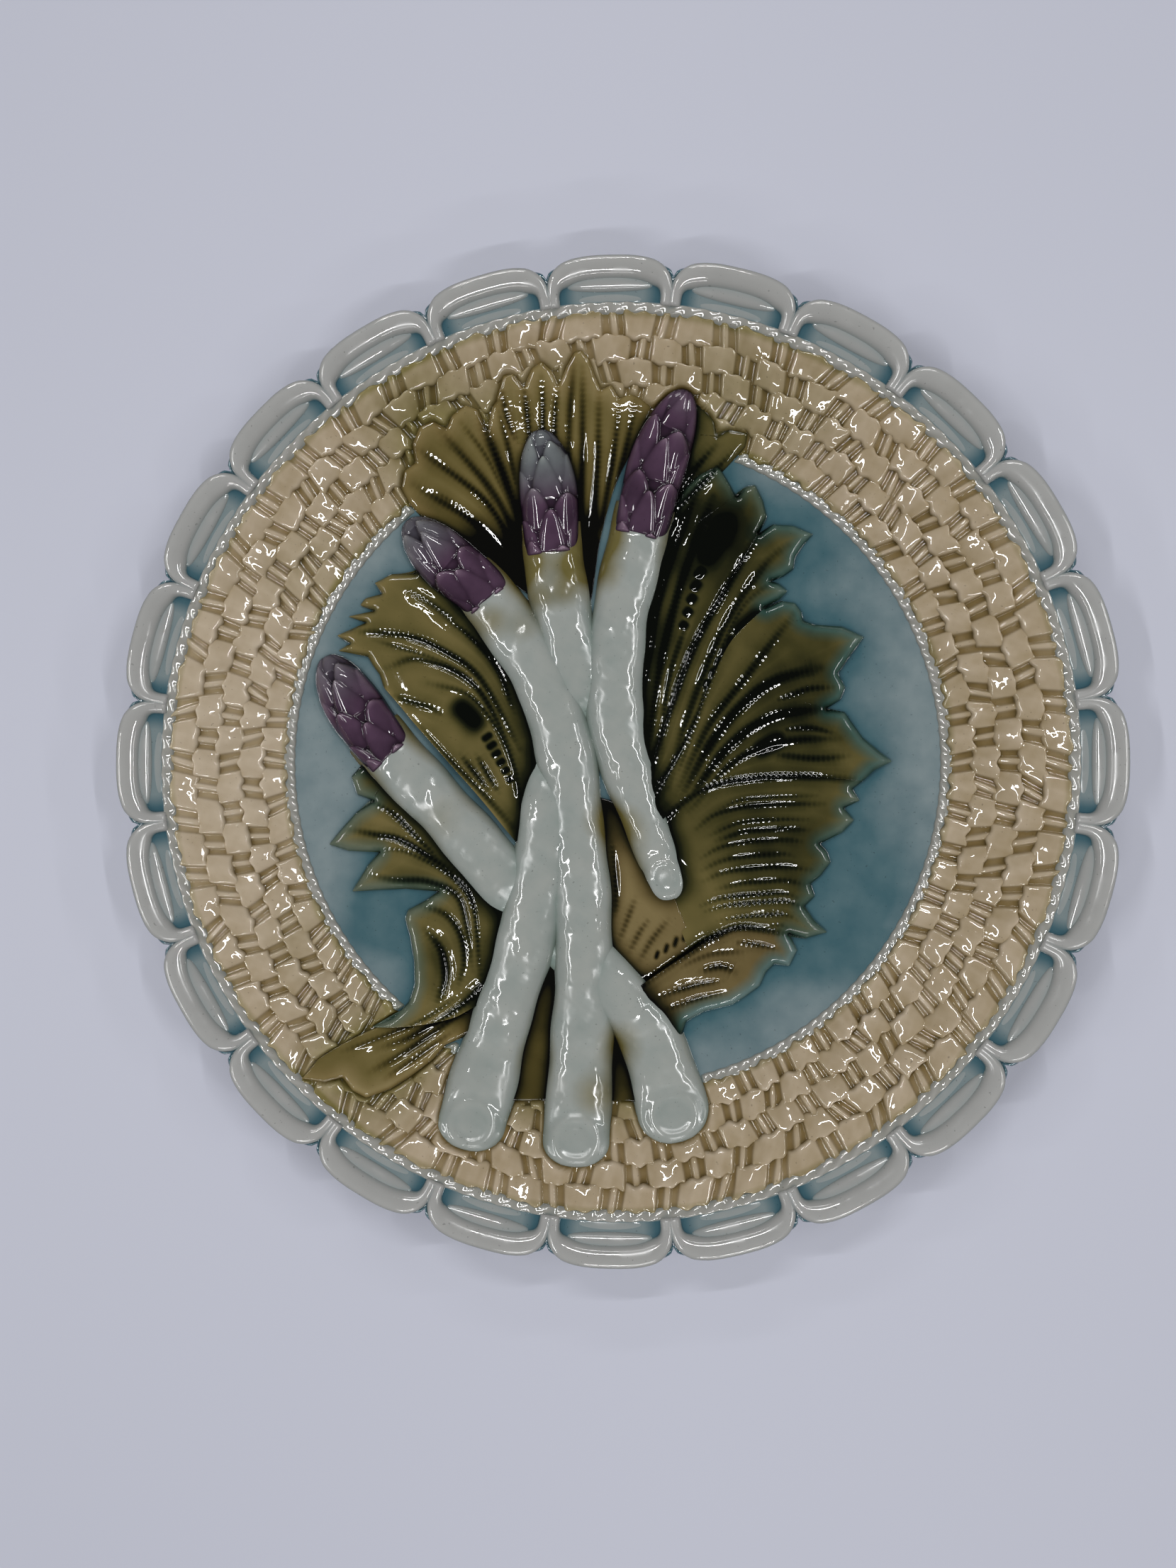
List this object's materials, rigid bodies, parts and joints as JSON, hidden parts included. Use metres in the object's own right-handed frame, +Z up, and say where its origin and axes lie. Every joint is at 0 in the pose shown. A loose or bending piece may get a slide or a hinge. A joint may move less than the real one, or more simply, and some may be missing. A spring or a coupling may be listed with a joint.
{
  "type": "asparagus plate",
  "caption": "Round earthenware plate with a scalloped edge, a basket-weave rim and a bundle of asparagus on leaves in relief across the well, for serving asparagus.",
  "frame": {"origin": "on the table under the middle of the plate, at the underside of the foot ring", "axes": "+Z up out of the well along the plate's axis, +Y towards the asparagus tips, +X to their right"},
  "size_m": [0.24, 0.24, 0.0251],
  "materials": {
    "well_glaze": "clear pale blue glaze, glossy",
    "bare_foot": "wiped earthenware, matt",
    "edge_glaze": "blue glaze pooled in the grooves, glossy",
    "rope_glaze": "pale blue white glaze, glossy",
    "weave_glaze": "straw glaze with olive hollows, glossy",
    "lip_glaze": "pale celadon glaze, glossy",
    "stalk_glaze": "pale celadon glaze, glossy",
    "tip_glaze": "purple glaze, glossy",
    "leaf_glaze": "olive brown glaze, near black in the grooves, glossy"
  },
  "bodies": {
    "root": {"plate_body": "well_glaze", "foot_ring": "bare_foot", "scalloped_edge": "edge_glaze", "outer_rope": "rope_glaze", "inner_rope": "rope_glaze", "weave_row_1": "weave_glaze", "weave_row_2": "weave_glaze", "weave_row_3": "weave_glaze", "weave_row_4": "weave_glaze", "weave_row_5": "weave_glaze", "scallop_1": "lip_glaze", "scallop_2": "lip_glaze", "scallop_3": "lip_glaze", "scallop_4": "lip_glaze", "scallop_5": "lip_glaze", "scallop_6": "lip_glaze", "scallop_7": "lip_glaze", "scallop_8": "lip_glaze", "scallop_9": "lip_glaze", "scallop_10": "lip_glaze", "scallop_11": "lip_glaze", "scallop_12": "lip_glaze", "scallop_13": "lip_glaze", "scallop_14": "lip_glaze", "scallop_15": "lip_glaze", "scallop_16": "lip_glaze", "scallop_17": "lip_glaze", "scallop_18": "lip_glaze", "scallop_19": "lip_glaze", "scallop_20": "lip_glaze", "scallop_21": "lip_glaze", "scallop_22": "lip_glaze", "scallop_23": "lip_glaze", "scallop_24": "lip_glaze", "stalk_left": "stalk_glaze", "stalk_middle": "stalk_glaze", "stalk_back": "stalk_glaze", "stalk_right": "stalk_glaze", "tip_left": "tip_glaze", "tip_middle": "tip_glaze", "tip_back": "tip_glaze", "tip_right": "tip_glaze", "leaf_right_top": "leaf_glaze", "leaf_right_high": "leaf_glaze", "leaf_right_middle": "leaf_glaze", "leaf_right_low": "leaf_glaze", "leaf_right_foot": "leaf_glaze", "leaf_heart": "leaf_glaze", "leaf_left_high": "leaf_glaze", "leaf_left_low": "leaf_glaze", "leaf_curl": "leaf_glaze", "leaf_top_left": "leaf_glaze", "leaf_top_middle": "leaf_glaze", "leaf_gap_left": "leaf_glaze", "leaf_gap_right": "leaf_glaze"}
  },
  "joints": []
}
